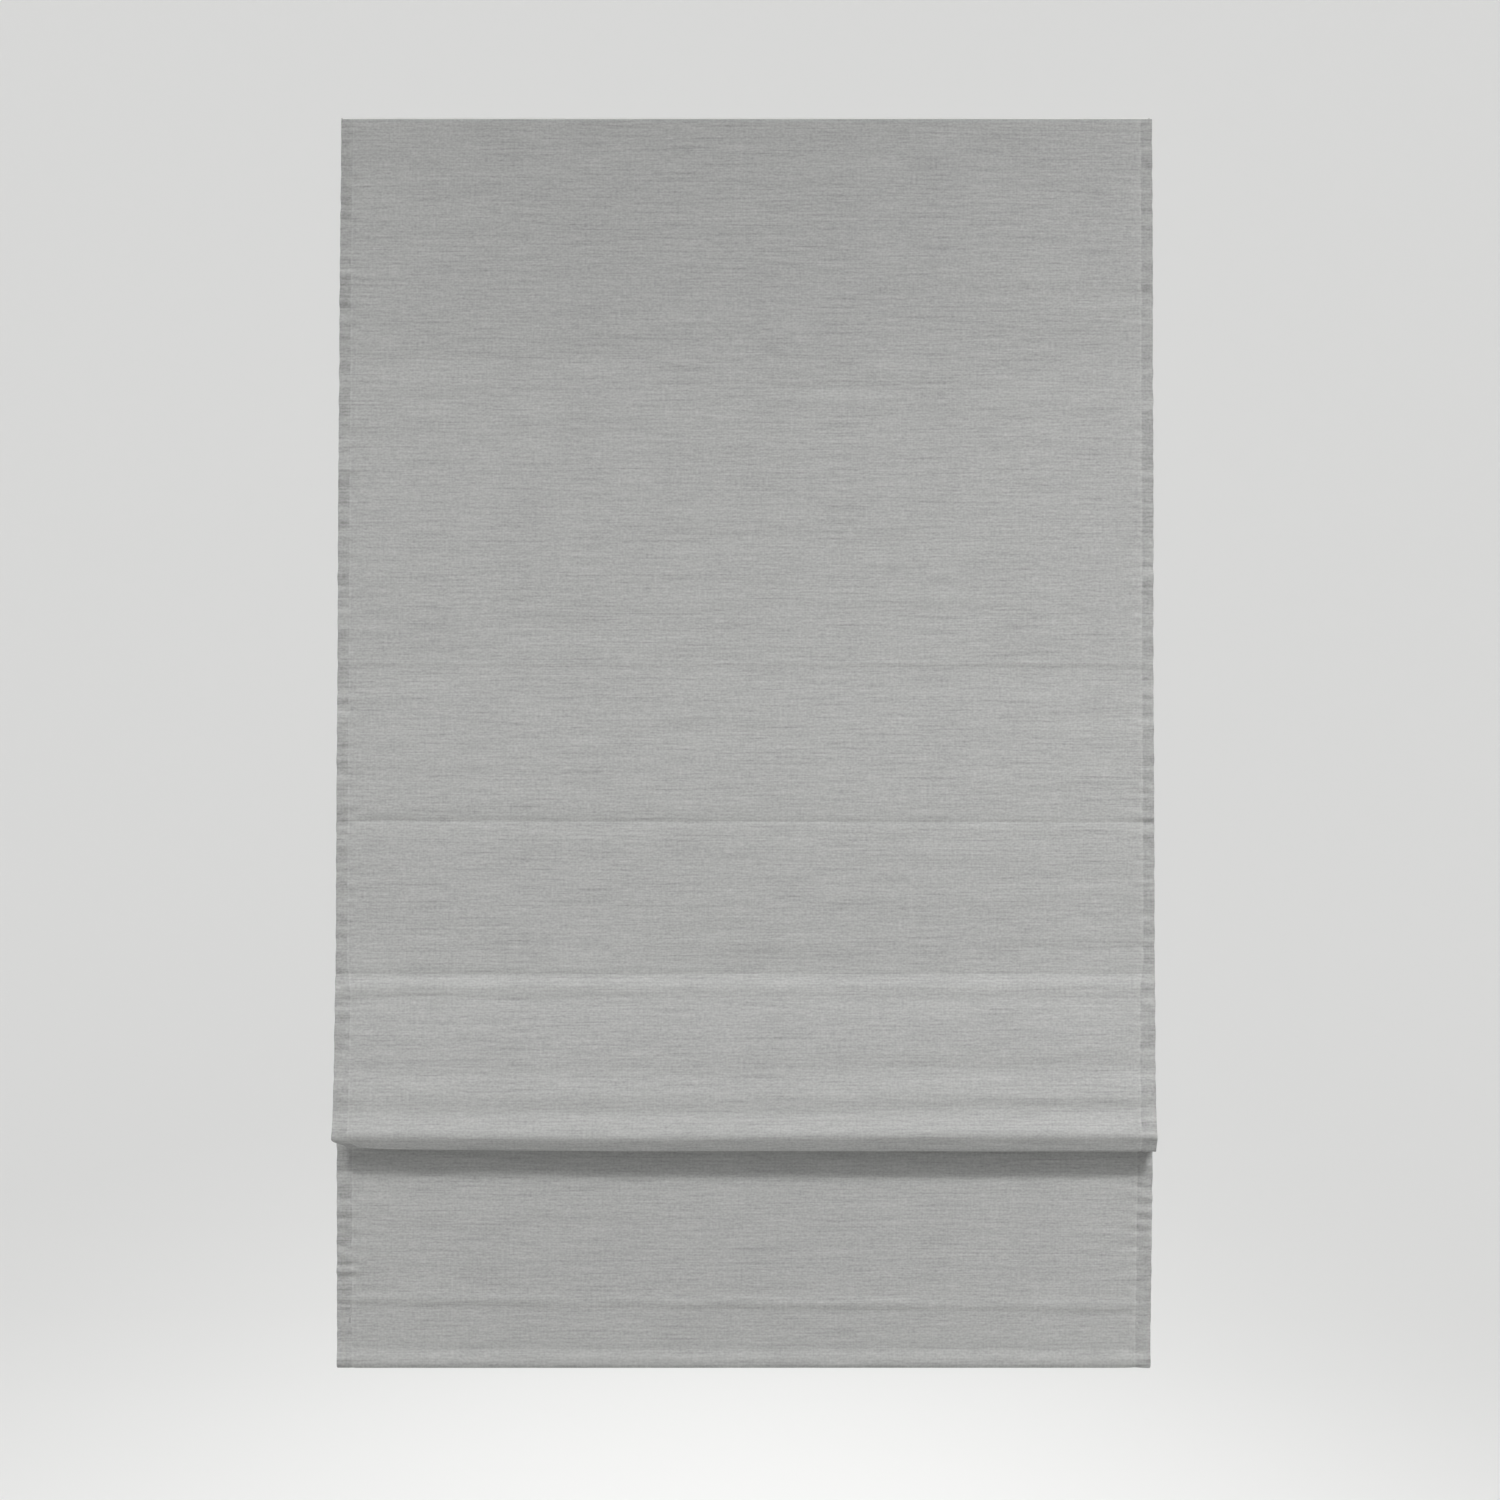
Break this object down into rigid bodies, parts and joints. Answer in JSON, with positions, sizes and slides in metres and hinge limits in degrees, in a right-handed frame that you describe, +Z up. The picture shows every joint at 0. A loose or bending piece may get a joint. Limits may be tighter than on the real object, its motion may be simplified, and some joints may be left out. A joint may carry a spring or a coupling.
{
  "type": "roman blind",
  "caption": "Cordless roman blind: hemmed grey woven fabric on hidden ribs below a sprung headrail, thrown into a soft fold above its weighted bottom hem.",
  "frame": {"origin": "on the mounting face, midway between the two brackets' screw holes", "axes": "+Z up, out of the mounting face; -Y towards the room, the front of the blind; +X to the right seen from the room"},
  "size_m": [0.889, 0.0904, 1.365],
  "materials": {
    "fabric": "matte",
    "tape": "matte",
    "rail": "satin",
    "cap": "satin",
    "moulding": "satin",
    "ring": "gloss",
    "rod": "satin",
    "bracket": "satin",
    "shaft": "satin",
    "spring": "satin",
    "bar": "satin"
  },
  "bodies": {
    "headrail_set": {"headrail": "rail", "end_cap_left": "cap", "end_cap_right": "cap", "bracket_left": "bracket", "bracket_right": "bracket", "hook_tape": "tape", "loop_tape": "tape", "spool_cradle_left": "moulding", "spool_cradle_centre": "moulding", "spool_cradle_right": "moulding", "motor_housing": "moulding", "motor_cover": "moulding", "spring_band": "spring", "fabric_top_section": "fabric"},
    "shaft_set": {"lift_shaft": "shaft", "cord_spool_left": "moulding", "cord_spool_centre": "moulding", "cord_spool_right": "moulding", "output_drum": "moulding"},
    "storage_set": {"storage_drum": "moulding"},
    "first_rib": {"rib_rod_1": "rod", "rib_pocket_1": "tape", "rib_rings_1": "ring", "fabric_second_section": "fabric"},
    "second_rib": {"rib_rod_2": "rod", "rib_pocket_2": "tape", "rib_rings_2": "ring", "fabric_third_section": "fabric"},
    "third_rib": {"rib_rod_3": "rod", "rib_pocket_3": "tape", "rib_rings_3": "ring", "fabric_fold": "fabric"},
    "lowest_rib": {"rib_rod_4": "rod", "rib_pocket_4": "tape", "rib_rings_4": "ring", "fabric_bottom_panel": "fabric", "bottom_bar": "bar", "bar_cap_left": "cap", "bar_cap_right": "cap"}
  },
  "joints": [
    {"name": "top_fold", "type": "slide", "parent": "headrail_set", "child": "first_rib", "axis": [0, 0, 1], "range_m": [0, 0.206], "deforming": ["fabric_top_section"]},
    {"name": "second_fold", "type": "slide", "parent": "first_rib", "child": "second_rib", "axis": [0, 0, 1], "range_m": [0, 0.319], "deforming": ["fabric_second_section"]},
    {"name": "third_fold", "type": "slide", "parent": "second_rib", "child": "third_rib", "axis": [0, 0, 1], "range_m": [0, 0.319], "deforming": ["fabric_third_section"]},
    {"name": "lowest_fold", "type": "slide", "parent": "third_rib", "child": "lowest_rib", "axis": [0, 0, 1], "range_m": [-0.264, 0.055], "deforming": ["fabric_fold"]},
    {"name": "shaft_turn", "type": "hinge", "parent": "headrail_set", "child": "shaft_set", "pos_m": [0, -0.0055, -0.025], "axis": [1, 0, 0], "range_deg": [-350, 1420]},
    {"name": "storage_turn", "type": "hinge", "parent": "headrail_set", "child": "storage_set", "pos_m": [0.13, 0.0122, -0.025], "axis": [1, 0, 0], "range_deg": [-2200, 540]}
  ],
  "couplings": [
    {"joint": "shaft_turn", "follows": "lowest_fold", "rad_per_m": -93.458},
    {"joint": "storage_turn", "follows": "lowest_fold", "rad_per_m": 141.98}
  ]
}
